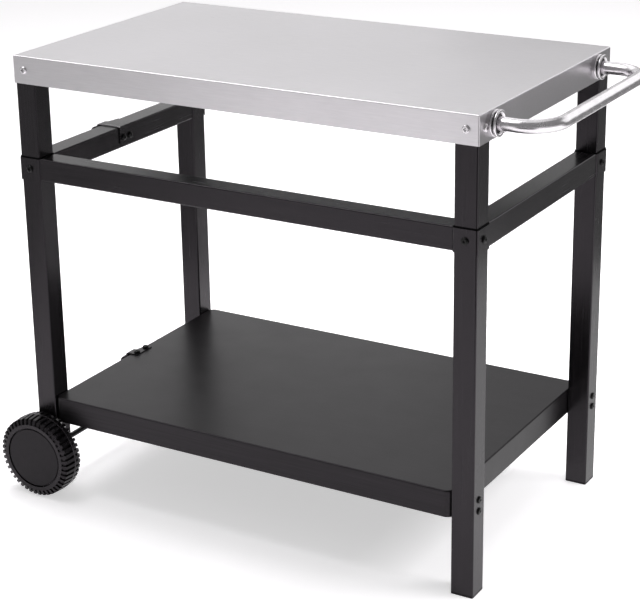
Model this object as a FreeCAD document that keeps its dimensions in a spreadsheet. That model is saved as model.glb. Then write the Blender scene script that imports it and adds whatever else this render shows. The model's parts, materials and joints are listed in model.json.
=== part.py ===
import FreeCAD, Part
import math
import os
import Sketcher
from FreeCAD import Placement, Rotation, Vector

# Outdoor pizza oven table: folded steel top and shelf on a square tube frame,
# two wheels on the left, a push handle on the right, two fold-out hooks on the left.
# X runs from the wheels to the handle, Y from front to back, Z up from the floor.
doc = FreeCAD.newDocument("PizzaOvenTable")
sizes = doc.addObject("Spreadsheet::Sheet", "Sizes")
places = doc.addObject("Spreadsheet::Sheet", "Places")

# Driving dimensions in millimetres
sizeRows = [
    ("topLength", 885, "tabletop along X"),
    ("topDepth", 517.5, "tabletop along Y"),
    ("topHeight", 812, "floor to the top surface"),
    ("topGauge", 1, "tabletop sheet"),
    ("topSkirt", 48.5, "height of the folded skirt"),
    ("topBend", 1.8, "outer radius of the top's folds"),
    ("topHem", 9, "height of the flattened hem inside the skirt"),
    ("hemRelief", 7, "hem cut back at each corner"),
    ("legSide", 40, "square tube, outside"),
    ("legWall", 1.5, "square tube wall"),
    ("legCorner", 2.5, "square tube outside corner radius"),
    ("leftLegEnd", 42, "floor to the lower end of the left legs"),
    ("railTop", 631.5, "floor to the top of the rails"),
    ("railSide", 40, "rail tube, outside"),
    ("railWall", 1.5, "rail tube wall"),
    ("railCorner", 2.5, "rail tube outside corner radius"),
    ("socketWall", 2, "corner socket wall"),
    ("socketHeight", 42, "corner socket height with its rim"),
    ("socketRim", 2, "height of the plastic rim on the socket's mouth"),
    ("rimInset", 0.4, "rim set back from the socket's faces"),
    ("socketGrip", 10, "length of lower leg held in the socket"),
    ("shelfHeight", 182.5, "floor to the shelf surface"),
    ("shelfSkirt", 47, "height of the shelf skirt"),
    ("shelfGauge", 1.2, "shelf sheet"),
    ("shelfCorner", 13, "upright corner radius of the shelf"),
    ("shelfBend", 2.6, "outer radius of the shelf's folds"),
    ("shelfLip", 11, "width of the turned-in lip under the skirt"),
    ("lipRelief", 17, "lip cut back at each corner"),
    ("channelWidth", 46, "stiffening channel, inside width"),
    ("channelDepth", 15, "stiffening channel depth"),
    ("channelFlange", 13, "stiffening channel flange"),
    ("channelGauge", 1.2, "stiffening channel sheet"),
    ("topChannelOffset", 112, "tabletop channels from the middle line"),
    ("channelEnd", 16, "channels stop short of the legs"),
    ("footSole", 4, "thickness of the foot under the tube"),
    ("plugHead", 3, "head of the plug under the left legs"),
    ("plugHeight", 20, "height of the plugs in the tubes"),
    ("plugWall", 2, "wall of the plugs"),
    ("plugGap", 0.2, "plug clearance in the tube"),
    ("wheelDiameter", 152, "wheel over the tread"),
    ("wheelWidth", 45, "wheel overall width"),
    ("treadBand", 4, "width of the smooth band round the middle"),
    ("bandOffset", 3.5, "smooth band towards the leg from the middle"),
    ("kneeDrop", 1.5, "shoulder's knee below the band"),
    ("kneeInset", 3.5, "shoulder's knee from the wheel's face"),
    ("shoulderDrop", 12, "flat front ring below the band"),
    ("backDrop", 8, "back ring below the band"),
    ("ribStart", 12, "foot of the ribs below the band"),
    ("ribDepth", 4.5, "depth of the notches between ribs"),
    ("ribNotch", 5, "width of the notches between ribs"),
    ("ribEnd", 2, "depth of the notches' ends in the back ring"),
    ("ribCount", 44, "ribs in each row"),
    ("capRadius", 55, "wheel cap radius"),
    ("capGroove", 2.2, "groove round the wheel cap"),
    ("capThickness", 4.6, "wheel cap face thickness"),
    ("capEdge", 1, "radius of the cap's rim"),
    ("capSink", 0.9, "cap face below the wheel face"),
    ("capSpigot", 9, "depth of the cap's ring in the wheel"),
    ("capRingWall", 2.4, "wall of the cap's ring"),
    ("rimInside", 51.6, "radius of the wheel's front hollow"),
    ("webThickness", 5, "wheel web"),
    ("webBack", 13, "web from the wheel's back face"),
    ("backRim", 61, "radius of the hollow in the wheel's back"),
    ("hubRadius", 14, "wheel hub radius"),
    ("hubLength", 27, "wheel hub length"),
    ("spokeCount", 6, "stiffening ribs in the wheel's back"),
    ("spokeWidth", 3, "stiffening rib thickness"),
    ("spokeSink", 3, "stiffening ribs below the wheel's back face"),
    ("spokeRoot", 1, "stiffening ribs run into hub, web and rim"),
    ("axleDiameter", 10, "axle rod"),
    ("axleClearance", 0.06, "radial clearance of the wheel bore"),
    ("axleSlack", 0.1, "radial clearance of the holes in the legs"),
    ("axleChamfer", 0.8, "chamfer of the axle's ends"),
    ("wheelWasher", 2, "washer between leg and wheel"),
    ("wheelPlay", 0.5, "end play of the wheel each side"),
    ("washerRadius", 11, "wheel washer radius"),
    ("pushNutLength", 4.5, "push-on nut on the axle end"),
    ("pushNutRadius", 9, "push-on nut radius"),
    ("handleDiameter", 22, "handle tube, outside"),
    ("handleWall", 1.5, "handle tube wall"),
    ("handleReach", 101, "skirt to the far side of the bar"),
    ("handleInset", 11.75, "legs' inner faces to the ends' centre lines"),
    ("handleBend", 56, "bend radius on the centre line"),
    ("rosetteRadius", 21.5, "handle rosette radius"),
    ("rosetteDepth", 10, "handle rosette depth"),
    ("rosetteGroove", 3.2, "depth of the groove between its rings"),
    ("rosetteRing", 3.4, "thickness of each ring"),
    ("rosetteEdge", 0.9, "radius of the rings' edges"),
    ("rosetteGap", 0.1, "rosette clearance on the tube"),
    ("handlePlug", 24, "length of the handle's end plugs"),
    ("handleBolt", 6, "handle bolt diameter"),
    ("handleBoltHead", 5, "handle bolt head radius"),
    ("handleBoltRise", 4, "handle bolt head height"),
    ("handleWasher", 1.5, "handle bolt washer thickness"),
    ("handleWasherRadius", 8, "handle bolt washer radius"),
    ("topScrew", 6, "tabletop screw shank"),
    ("topScrewHead", 6.6, "tabletop screw head radius"),
    ("topScrewRise", 3.2, "tabletop screw head height"),
    ("crossWidth", 2, "cross recess, width of an arm"),
    ("crossLength", 6.6, "cross recess, tip to tip"),
    ("recessDepth", 2.2, "depth of the screw recesses"),
    ("frameScrew", 6, "socket screw shank"),
    ("frameScrewHead", 6.2, "socket screw head radius"),
    ("frameScrewRise", 3.4, "socket screw head height"),
    ("shelfBolt", 6, "shelf bolt shank"),
    ("shelfBoltHead", 6, "shelf bolt head radius"),
    ("shelfBoltRise", 3, "shelf bolt head height"),
    ("shelfBoltUpper", 12.5, "upper bolt below the shelf surface"),
    ("shelfBoltPitch", 20, "between the two bolts of a leg"),
    ("hexRecess", 2.3, "hexagon recess, radius over its corners"),
    ("headCrown", 0.7, "crown radius of a head, share of its height"),
    ("holeSlack", 0.2, "radial clearance of bolt holes"),
    ("nutThickness", 5, "nut thickness"),
    ("nutRadius", 5.6, "nut radius over its corners"),
    ("boltEnd", 1, "bolt standing out of its nut"),
    ("hookRod", 6, "hook rod diameter"),
    ("hookPivot", 44, "arm's centre line to the pivot's rear end"),
    ("hookBend", 4, "bend from the pivot to the arm"),
    ("hookStub", 6, "arm below the bend that is made with it"),
    ("hookDrop", 44, "pivot to the start of the hook's curve"),
    ("hookCurve", 9, "radius of the hook's curve"),
    ("hookTip", 12, "straight tip after the curve"),
    ("hookClearance", 0.08, "radial clearance of the pivot in its barrel"),
    ("hookCollar", 2, "thickness of the collars each side of the barrel"),
    ("hookCollarPlay", 0.4, "play between collar and barrel"),
    ("hookCollarRise", 0.8, "collar standing out from the rod"),
    ("barrelLength", 22, "hook plate barrel length"),
    ("plateLength", 48, "hook plate along Y"),
    ("plateGauge", 2, "hook plate thickness"),
    ("plateSlope", 4.5, "slope of the plate's rear edge, end to end"),
    ("shelfPlateWidth", 16, "shelf hook plate on the shelf"),
    ("barrelGap", 0.2, "barrels clear of the rail and of the shelf's skirt"),
    ("shelfPlateBolt", 9, "shelf plate bolts from the shelf's end"),
    ("shelfPlatePitch", 28, "between the shelf plate's bolts"),
    ("railFlange", 32, "height of the rail hook plate's inner flange"),
    ("railPlatePitch", 20, "between the rail plate's bolts"),
    ("railPlateShift", 4, "rail plate's bolts towards the front"),
    ("hookBolt", 6, "hook plate bolt shank"),
    ("hookBoltHead", 6, "hook plate bolt head radius"),
    ("hookBoltRise", 4.2, "hook plate bolt head height"),
    ("hookNut", 5, "hook plate nut thickness"),
    ("hookNutRadius", 5.6, "hook plate nut radius over its corners"),
]

# Places worked out from the driving dimensions, each from rows above it
placeRows = [
    ("legSpreadX", "Sizes.topLength / 2 - Sizes.topGauge * 2 - Sizes.legSide / 2"),
    ("legSpreadY", "Sizes.topDepth / 2 - Sizes.topGauge * 2 - Sizes.legSide / 2"),
    ("wheelRadius", "Sizes.wheelDiameter / 2"),
    ("handleLimit", "Sizes.topLength / 2 + Sizes.handleReach"),
    ("tableMiddle", "(legSpreadX + wheelRadius - handleLimit) / 2"),
    ("leftLegX", "tableMiddle - legSpreadX"),
    ("legTop", "Sizes.topHeight - Sizes.topGauge"),
    ("legInside", "Sizes.legSide - Sizes.legWall * 2"),
    ("railMiddle", "Sizes.railTop - Sizes.railSide / 2"),
    ("socketSide", "Sizes.legSide + Sizes.socketWall * 2"),
    ("rimSide", "socketSide - Sizes.rimInset * 2"),
    ("socketBottom", "railMiddle - Sizes.socketHeight / 2"),
    ("socketTop", "socketBottom + Sizes.socketHeight - Sizes.socketRim"),
    ("legJoint", "socketBottom + Sizes.socketGrip"),
    ("screwHeight", "Sizes.topHeight - Sizes.topSkirt / 2"),
    ("shelfLength", "legSpreadX * 2 - Sizes.legSide"),
    ("shelfDepth", "legSpreadY * 2 + Sizes.legSide"),
    ("shelfBoltHigh", "Sizes.shelfHeight - Sizes.shelfBoltUpper"),
    ("shelfBoltLow", "shelfBoltHigh - Sizes.shelfBoltPitch"),
    ("channelLength", "shelfLength - Sizes.channelEnd * 2"),
    ("wheelBack", "legSpreadY + Sizes.legSide / 2 + Sizes.wheelWasher + Sizes.wheelPlay"),
    ("boreRadius", "Sizes.axleDiameter / 2 + Sizes.axleClearance"),
    ("kneeRadius", "wheelRadius - Sizes.kneeDrop"),
    ("frontRing", "wheelRadius - Sizes.shoulderDrop"),
    ("backRing", "wheelRadius - Sizes.backDrop"),
    ("ribFoot", "wheelRadius - Sizes.ribStart"),
    ("ribFloor", "wheelRadius - Sizes.ribDepth"),
    ("bandStart", "(Sizes.wheelWidth - Sizes.treadBand) / 2 - Sizes.bandOffset"),
    ("bandEnd", "(Sizes.wheelWidth + Sizes.treadBand) / 2 - Sizes.bandOffset"),
    ("webFront", "Sizes.webBack + Sizes.webThickness"),
    ("capFace", "Sizes.wheelWidth - Sizes.capSink"),
    ("capSeat", "capFace - Sizes.capThickness"),
    ("pushNutStart", "wheelBack + Sizes.hubLength + Sizes.wheelPlay"),
    ("axleEnd", "pushNutStart + Sizes.pushNutLength + Sizes.boltEnd"),
    ("handleFace", "tableMiddle + Sizes.topLength / 2"),
    ("handleSide", "legSpreadY - Sizes.legSide / 2 - Sizes.handleInset"),
    ("handleSpan", "handleSide * 2"),
    ("handleLeg", "Sizes.handleReach - Sizes.handleDiameter / 2 - Sizes.handleBend"),
    ("handleBar", "handleSpan - Sizes.handleBend * 2"),
    ("barrelBore", "Sizes.hookRod / 2 + Sizes.hookClearance"),
    ("barrelRadius", "barrelBore + Sizes.plateGauge"),
    ("barrelFront", "-Sizes.plateLength / 2"),
    ("barrelRear", "barrelFront + Sizes.barrelLength"),
    ("collarRadius", "Sizes.hookRod / 2 + Sizes.hookCollarRise"),
    ("collarRoom", "collarRadius + Sizes.hookCollarPlay"),
    ("pivotEnd", "barrelRear + Sizes.hookCollarPlay + Sizes.hookCollar"),
    ("hookArmY", "pivotEnd - Sizes.hookPivot"),
    ("pivotRun", "Sizes.hookPivot - Sizes.hookBend"),
    ("armStart", "-Sizes.hookBend - Sizes.hookStub"),
    ("armRun", "Sizes.hookDrop + armStart"),
    ("railOutside", "leftLegX - Sizes.railSide / 2"),
    ("railHookX", "railOutside - Sizes.barrelGap - barrelRadius"),
    ("railHookZ", "Sizes.railTop + Sizes.plateGauge - barrelRadius"),
    ("railPlateReach", "barrelRadius + Sizes.barrelGap + Sizes.railSide + Sizes.plateGauge"),
    ("shelfOutside", "tableMiddle - shelfLength / 2"),
    ("shelfHookX", "shelfOutside - Sizes.barrelGap - barrelRadius"),
    ("shelfHookZ", "Sizes.shelfHeight + Sizes.plateGauge - barrelRadius"),
    ("shelfPlateReach", "barrelRadius + Sizes.barrelGap + Sizes.shelfPlateWidth"),
    ("shelfPlateBoltX", "shelfOutside + Sizes.shelfPlateBolt"),
]

for row, (name, size, note) in enumerate(sizeRows, start=1):
    sizes.set(f"A{row}", name)
    sizes.set(f"B{row}", str(size))
    sizes.set(f"C{row}", note)
    sizes.setAlias(f"B{row}", name)
for row, (name, formula) in enumerate(placeRows, start=1):
    places.set(f"A{row}", name)
    places.set(f"B{row}", "=" + formula)
    places.setAlias(f"B{row}", name)
doc.recompute()

pieces = []
closeEnough = 1e-4
leastCut = 1e-3
axisX, axisY, axisZ = Vector(1, 0, 0), Vector(0, 1, 0), Vector(0, 0, 1)

# Turns that point a piece's own Z axis along a table axis
pointing = {
    "up": Rotation(),
    "down": Rotation(axisX, 180),
    "front": Rotation(axisX, 90),
    "rear": Rotation(axisX, -90),
    "right": Rotation(axisY, 90),
    "left": Rotation(axisY, -90),
}

# Each corner's side of the middle in X and in Y
corners = {
    "front_left": (-1, -1),
    "front_right": (1, -1),
    "rear_left": (-1, 1),
    "rear_right": (1, 1),
}


def cell(name):
    # number held by a cell such as Sizes.legSide, or zero
    if name == "0":
        return 0.0
    sheet, alias = name.split(".")
    return float(doc.getObject(sheet).get(alias))


def signed(sign, expression):
    return f"({expression})" if sign > 0 else f"-({expression})"


def moveTo(item, x, y, z, turn="up", prefix="Placement"):
    setattr(item, prefix, Placement(Vector(0, 0, 0), pointing[turn]))
    for axis, expression in (("x", x), ("y", y), ("z", z)):
        item.setExpression(f"{prefix}.Base.{axis}", expression)


def newBody(label, keep=True):
    body = doc.addObject("PartDesign::Body", label)
    body.Label = label
    if keep:
        pieces.append(body)
    return body


def originPart(body, role):
    return next(feature for feature in body.Origin.OriginFeatures if feature.Role == role)


def newSketch(body, name, plane, offset=None):
    sketch = body.newObject("Sketcher::SketchObject", name)
    sketch.AttachmentSupport = (originPart(body, plane), [""])
    sketch.MapMode = "FlatFace"
    if offset is not None:
        sketch.setExpression("AttachmentOffset.Base.z", offset)
    return sketch


def holdAt(sketch, kind, geometry, expression, *points):
    index = sketch.addConstraint(Sketcher.Constraint(kind, *points))
    sketch.setExpression(f"Constraints[{index}]", expression)


def pin(sketch, geometry, point, x, y):
    # holds a point at x, y from the sketch's origin
    spot = sketch.getPoint(geometry, point)
    for kind, expression, axis, now in (("DistanceX", x, -2, spot.x), ("DistanceY", y, -1, spot.y)):
        if expression == "0":
            sketch.addConstraint(Sketcher.Constraint("PointOnObject", geometry, point, axis))
        else:
            holdAt(sketch, kind, geometry, expression, -1, 1, geometry, point, now)


def outline(sketch, points):
    # closed outline of straight edges through points given as expressions
    count = len(points)
    turns = [2 * math.pi * (k + 0.3) / count for k in range(count)]
    spots = [Vector(math.cos(turn), math.sin(turn), 0) for turn in turns]
    first = sketch.GeometryCount
    for k in range(count):
        sketch.addGeometry(Part.LineSegment(spots[k], spots[(k + 1) % count]))
    for k in range(count):
        sketch.addConstraint(Sketcher.Constraint("Coincident", first + k, 2, first + (k + 1) % count, 1))
    for k, (x, y) in enumerate(points):
        pin(sketch, first + k, 1, x, y)


def rectangle(sketch, left, bottom, right, top):
    outline(sketch, [(left, bottom), (right, bottom), (right, top), (left, top)])


def centred(sketch, width, height):
    rectangle(sketch, f"-({width}) / 2", f"-({height}) / 2", f"({width}) / 2", f"({height}) / 2")


def circle(sketch, x, y, radius):
    index = sketch.addGeometry(Part.Circle(Vector(0.5, 0.5, 0), Vector(0, 0, 1), 1))
    pin(sketch, index, 3, x, y)
    holdAt(sketch, "Radius", index, radius, index, 1)


def hexagon(sketch, radius):
    steps = [math.radians(60 * k) for k in range(6)]
    outline(sketch, [(f"({radius}) * {math.cos(a):.6f}", f"({radius}) * {math.sin(a):.6f}") for a in steps])


def bentPath(sketch, x, y, heading, steps):
    # runs (length) and quarter or half turns (radius, degrees) that follow each other smoothly
    spot = Vector(cell(x), cell(y), 0)
    last = None
    for step in steps:
        if len(step) == 1:
            ahead = spot + heading * cell(step[0])
            index = sketch.addGeometry(Part.LineSegment(spot, ahead))
            near, far = 1, 2
            holdAt(sketch, "Distance", index, step[0], index, cell(step[0]))
            if last is None:
                direction = "Horizontal" if abs(heading.x) > 0.5 else "Vertical"
                sketch.addConstraint(Sketcher.Constraint(direction, index))
        else:
            radius, degrees = cell(step[0]), step[1]
            turn = Rotation(axisZ, degrees)
            centre = spot + Rotation(axisZ, math.copysign(90, degrees)).multVec(heading) * radius
            ahead = centre + turn.multVec(spot - centre)
            near, far = (1, 2) if degrees > 0 else (2, 1)
            start, end = (spot, ahead) if degrees > 0 else (ahead, spot)
            angles = [math.atan2(p.y - centre.y, p.x - centre.x) for p in (start, end)]
            index = sketch.addGeometry(Part.ArcOfCircle(Part.Circle(centre, axisZ, radius), *angles))
            holdAt(sketch, "Radius", index, step[0], index, radius)
            heading = turn.multVec(heading)
        if last is None:
            pin(sketch, index, near, x, y)
        else:
            sketch.addConstraint(Sketcher.Constraint("Tangent", *last, index, near))
        last, spot = (index, far), ahead
    # an arc's end is settled by the run that follows it, which keeps to its axis
    for k in range(2, sketch.GeometryCount, 2):
        run = sketch.Geometry[k]
        flat = abs(run.EndPoint.y - run.StartPoint.y) < abs(run.EndPoint.x - run.StartPoint.x)
        sketch.addConstraint(Sketcher.Constraint("Horizontal" if flat else "Vertical", k))
    return [f"Edge{k + 1}" for k in range(sketch.GeometryCount)]


def addFeature(body, kind, sketch, length, midplane=False, reverse=False):
    feature = body.newObject(f"PartDesign::{kind}", kind)
    feature.Profile = sketch
    feature.Midplane = midplane
    feature.Reversed = reverse
    feature.setExpression("Length", length)
    return feature


def pad(body, sketch, length, midplane=False, reverse=False):
    return addFeature(body, "Pad", sketch, length, midplane, reverse)


def pocket(body, sketch, length, midplane=False, reverse=False):
    doc.recompute()
    before = body.Tip.Shape.Volume
    feature = addFeature(body, "Pocket", sketch, length, midplane, reverse)
    doc.recompute()
    if feature.Shape.Volume > before - leastCut:
        raise RuntimeError(f"{body.Label}: {sketch.Label} cut nothing")
    return feature


def revolve(body, sketch):
    feature = body.newObject("PartDesign::Revolution", "Revolution")
    feature.Profile = sketch
    feature.ReferenceAxis = (sketch, ["V_Axis"])
    feature.Angle = 360
    return feature


def pipe(body, section, path, edges):
    feature = body.newObject("PartDesign::AdditivePipe", "Pipe")
    feature.Profile = section
    feature.Spine = (path, edges)
    return feature


def edgeNames(shape, choose):
    return [f"Edge{k}" for k, edge in enumerate(shape.Edges, start=1) if choose(edge)]


def runsAlong(edge, axis):
    if len(edge.Vertexes) != 2:
        return False
    step = edge.Vertexes[1].Point - edge.Vertexes[0].Point
    return step.Length > closeEnough and abs(abs(step.dot(axis)) - step.Length) < closeEnough


def liesAtHeight(edge, height):
    bounds = edge.BoundBox
    return abs(bounds.ZMin - height) < closeEnough and abs(bounds.ZMax - height) < closeEnough


def soften(body, kind, size, choose):
    # fillet or chamfer on the chosen edges of the body as it stands
    doc.recompute()
    base = body.Tip
    names = edgeNames(base.Shape, choose)
    if not names:
        raise RuntimeError(f"{body.Label}: no edge to soften")
    feature = body.newObject(f"PartDesign::{kind}", kind)
    feature.Base = (base, names)
    feature.setExpression("Radius" if kind == "Fillet" else "Size", size)
    return feature


def hollowOut(body, gauge):
    # leaves a wall of the sheet's gauge inside the body, open underneath
    doc.recompute()
    base = body.Tip
    bottom = base.Shape.BoundBox.ZMin
    faces = [f"Face{k}" for k, face in enumerate(base.Shape.Faces, start=1)
             if abs(face.BoundBox.ZMax - bottom) < closeEnough]
    feature = body.newObject("PartDesign::Thickness", "SheetWall")
    feature.Base = (base, faces)
    feature.Reversed = True
    feature.setExpression("Value", gauge)


# Tabletop: one sheet folded down on four sides, with a flattened hem
def makeTabletop():
    body = newBody("tabletop")
    sheet = newSketch(body, "TopOutline", "XY_Plane")
    centred(sheet, "Sizes.topLength", "Sizes.topDepth")
    pad(body, sheet, "Sizes.topSkirt", reverse=True)
    soften(body, "Fillet", "Sizes.topBend", lambda e: runsAlong(e, axisZ) or liesAtHeight(e, 0))
    hollowOut(body, "Sizes.topGauge")
    addEdging(body, "HemEnds", "-Sizes.topSkirt", "Sizes.topLength / 2 - Sizes.topGauge",
              "Sizes.topDepth / 2 - Sizes.topGauge", "Sizes.topGauge", "Sizes.hemRelief", "Sizes.topHem")
    holes = {
        "XZ_Plane": ("Places.legSpreadX", "Sizes.topDepth * 2"),
        "YZ_Plane": ("Places.legSpreadY", "Sizes.topLength * 2"),
    }
    for plane, (spread, length) in holes.items():
        sketch = newSketch(body, f"ScrewHoles{plane[:2]}", plane)
        for side in (1, -1):
            circle(sketch, signed(side, spread), "-Sizes.topSkirt / 2", "Sizes.topScrew / 2 + Sizes.holeSlack")
        pocket(body, sketch, length, midplane=True)
    sketch = newSketch(body, "HandleHoles", "YZ_Plane")
    for side in (1, -1):
        circle(sketch, signed(side, "Places.handleSide"), "-Sizes.topSkirt / 2",
               "Sizes.handleBolt / 2 + Sizes.holeSlack")
    pocket(body, sketch, "Sizes.topLength", reverse=True)
    moveTo(body, "Places.tableMiddle", "0", "Sizes.topHeight")


def addEdging(body, name, level, halfX, halfY, width, relief, height):
    # four strips along the inside of a skirt, cut back at the corners
    sketch = newSketch(body, name, "XY_Plane", level)
    for side in (1, -1):
        rectangle(sketch, signed(side, f"{halfX} - {width}"), f"-({halfY} - {relief})",
                  signed(side, halfX), f"{halfY} - {relief}")
        rectangle(sketch, f"-({halfX} - {relief})", signed(side, f"{halfY} - {width}"),
                  f"{halfX} - {relief}", signed(side, halfY))
    pad(body, sketch, height)


# Stiffening channel: a hat section under a sheet, its flanges against the sheet
def makeChannel(label, y, underside):
    body = newBody(label)
    section = newSketch(body, "HatSection", "YZ_Plane")
    inner = "Sizes.channelWidth / 2"
    outer = f"{inner} + Sizes.channelGauge"
    tip = f"{outer} + Sizes.channelFlange"
    half = [(tip, "0"), (inner, "0"), (inner, "Sizes.channelGauge - Sizes.channelDepth")]
    back = [(outer, "-Sizes.channelDepth"), (outer, "-Sizes.channelGauge"), (tip, "-Sizes.channelGauge")]
    left = [(f"-({across})", down) for across, down in half[::-1] + back[::-1]]
    outline(section, half + left + back)
    pad(body, section, "Places.channelLength", midplane=True)
    moveTo(body, "Places.tableMiddle", y, underside)


# Square tube along one of the body's axes
def makeTube(body, side, wall, corner, length, plane="XY_Plane", midplane=False):
    section = newSketch(body, "TubeSection", plane)
    centred(section, side, side)
    centred(section, f"{side} - {wall} * 2", f"{side} - {wall} * 2")
    pad(body, section, length, midplane=midplane)
    doc.recompute()
    run = {"XY_Plane": axisZ, "YZ_Plane": axisX, "XZ_Plane": axisY}[plane]
    half = cell(side) / 2
    across = [axis for axis in (axisX, axisY, axisZ) if axis != run]
    soften(body, "Fillet", corner, lambda e: runsAlong(e, run)
           and all(abs(abs(e.Vertexes[0].Point.dot(axis)) - half) < closeEnough for axis in across))


def drillOutwards(body, name, sx, sy, height, diameter):
    # one hole in the wall that faces the front or rear, one in the wall that faces left or right
    for plane, outwards in (("XZ_Plane", sy < 0), ("YZ_Plane", sx > 0)):
        sketch = newSketch(body, f"{name}{plane[:2]}", plane)
        circle(sketch, "0", height, f"{diameter} / 2 + Sizes.holeSlack")
        pocket(body, sketch, "Places.socketSide", reverse=outwards)


def atLeg(sx, sy, z):
    x = f"Places.tableMiddle + {signed(sx, 'Places.legSpreadX')}"
    return x, signed(sy, "Places.legSpreadY"), z


def makeUpperLeg(corner, sx, sy):
    body = newBody(f"upper_leg_{corner}")
    makeTube(body, "Sizes.legSide", "Sizes.legWall", "Sizes.legCorner", "Places.legTop - Places.legJoint")
    drillOutwards(body, "TopHole", sx, sy, "Places.screwHeight - Places.legJoint", "Sizes.topScrew")
    drillOutwards(body, "SocketHole", sx, sy, "Places.railMiddle - Places.legJoint", "Sizes.frameScrew")
    moveTo(body, *atLeg(sx, sy, "Places.legJoint"))


def makeLowerLeg(corner, sx, sy):
    body = newBody(f"lower_leg_{corner}")
    bottom = "Sizes.footSole" if sx > 0 else "Sizes.leftLegEnd"
    makeTube(body, "Sizes.legSide", "Sizes.legWall", "Sizes.legCorner", f"Places.legJoint - {bottom}")
    sketch = newSketch(body, "ShelfBoltHoles", "YZ_Plane")
    for height in ("Places.shelfBoltHigh", "Places.shelfBoltLow"):
        circle(sketch, "0", f"{height} - {bottom}", "Sizes.shelfBolt / 2 + Sizes.holeSlack")
    pocket(body, sketch, "Places.socketSide", midplane=True)
    if sx < 0:
        sketch = newSketch(body, "AxleHole", "XZ_Plane")
        circle(sketch, "0", f"Places.wheelRadius - {bottom}", "Sizes.axleDiameter / 2 + Sizes.axleSlack")
        pocket(body, sketch, "Places.socketSide", midplane=True)
    moveTo(body, *atLeg(sx, sy, bottom))


def makeSocket(corner, sx, sy):
    body = newBody(f"corner_socket_{corner}")
    makeTube(body, "Places.socketSide", "Sizes.socketWall", "Sizes.legCorner + Sizes.socketWall / 2",
             "Sizes.socketHeight - Sizes.socketRim")
    drillOutwards(body, "ScrewHole", sx, sy, "Sizes.socketHeight / 2", "Sizes.frameScrew")
    moveTo(body, *atLeg(sx, sy, "Places.socketBottom"))


def makeRims():
    rim = newBody("socket_rim_form", keep=False)
    makeTube(rim, "Places.rimSide", "Sizes.socketWall - Sizes.rimInset", "Sizes.legCorner + Sizes.socketWall / 2",
             "Sizes.socketRim")
    placeCopies("socket_rims", rim, [("up", *atLeg(sx, sy, "Places.socketTop")) for sx, sy in corners.values()])


# Rails between the corner sockets; the back has none
def makeFrontRail():
    body = newBody("front_rail")
    makeTube(body, "Sizes.railSide", "Sizes.railWall", "Sizes.railCorner",
             "Places.legSpreadX * 2 - Places.socketSide", "YZ_Plane", midplane=True)
    moveTo(body, "Places.tableMiddle", "-Places.legSpreadY", "Places.railMiddle")


def makeSideRail(label, sx):
    body = newBody(label)
    makeTube(body, "Sizes.railSide", "Sizes.railWall", "Sizes.railCorner",
             "Places.legSpreadY * 2 - Places.socketSide", "XZ_Plane", midplane=True)
    if sx < 0:
        sketch = newSketch(body, "HookBoltHoles", "YZ_Plane")
        for side in (1, -1):
            circle(sketch, f"{signed(side, 'Sizes.railPlatePitch / 2')} - Sizes.railPlateShift", "0",
                   "Sizes.hookBolt / 2 + Sizes.holeSlack")
        pocket(body, sketch, "Places.socketSide", midplane=True)
    moveTo(body, f"Places.tableMiddle + {signed(sx, 'Places.legSpreadX')}", "0", "Places.railMiddle")


# Feet of the right legs and plugs of the left legs: a square head with a hollow plug
def makeLegEnd(label, sx, sy, head, bottom):
    body = newBody(label)
    sole = newSketch(body, "Sole", "XY_Plane")
    centred(sole, "Sizes.legSide", "Sizes.legSide")
    pad(body, sole, head)
    soften(body, "Fillet", "Sizes.legCorner", lambda e: runsAlong(e, axisZ))
    plug = newSketch(body, "Plug", "XY_Plane", head)
    outside = "(Places.legInside - Sizes.plugGap * 2)"
    centred(plug, outside, outside)
    centred(plug, f"{outside} - Sizes.plugWall * 2", f"{outside} - Sizes.plugWall * 2")
    pad(body, plug, "Sizes.plugHeight")
    moveTo(body, *atLeg(sx, sy, bottom))


# Shelf: a folded pan with rounded corners and a turned-in lip
def makeShelf():
    body = newBody("shelf")
    sheet = newSketch(body, "ShelfOutline", "XY_Plane")
    centred(sheet, "Places.shelfLength", "Places.shelfDepth")
    pad(body, sheet, "Sizes.shelfSkirt", reverse=True)
    soften(body, "Fillet", "Sizes.shelfCorner", lambda e: runsAlong(e, axisZ))
    soften(body, "Fillet", "Sizes.shelfBend", lambda e: liesAtHeight(e, 0))
    hollowOut(body, "Sizes.shelfGauge")
    halfX = "Places.shelfLength / 2 - Sizes.shelfGauge"
    halfY = "Places.shelfDepth / 2 - Sizes.shelfGauge"
    addEdging(body, "LipStrips", "-Sizes.shelfSkirt", halfX, halfY, "Sizes.shelfLip", "Sizes.lipRelief",
              "Sizes.shelfGauge")
    ends = newSketch(body, "EndBoltHoles", "YZ_Plane")
    for side in (1, -1):
        for height in ("Places.shelfBoltHigh", "Places.shelfBoltLow"):
            circle(ends, signed(side, "Places.legSpreadY"), f"{height} - Sizes.shelfHeight",
                   "Sizes.shelfBolt / 2 + Sizes.holeSlack")
    pocket(body, ends, "Sizes.topLength * 2", midplane=True)
    plate = newSketch(body, "HookPlateHoles", "XY_Plane")
    for side in (1, -1):
        circle(plate, "Places.shelfPlateBoltX - Places.tableMiddle", signed(side, "Sizes.shelfPlatePitch / 2"),
               "Sizes.hookBolt / 2 + Sizes.holeSlack")
    pocket(body, plate, "Sizes.shelfSkirt / 2")
    moveTo(body, "Places.tableMiddle", "0", "Sizes.shelfHeight")


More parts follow.
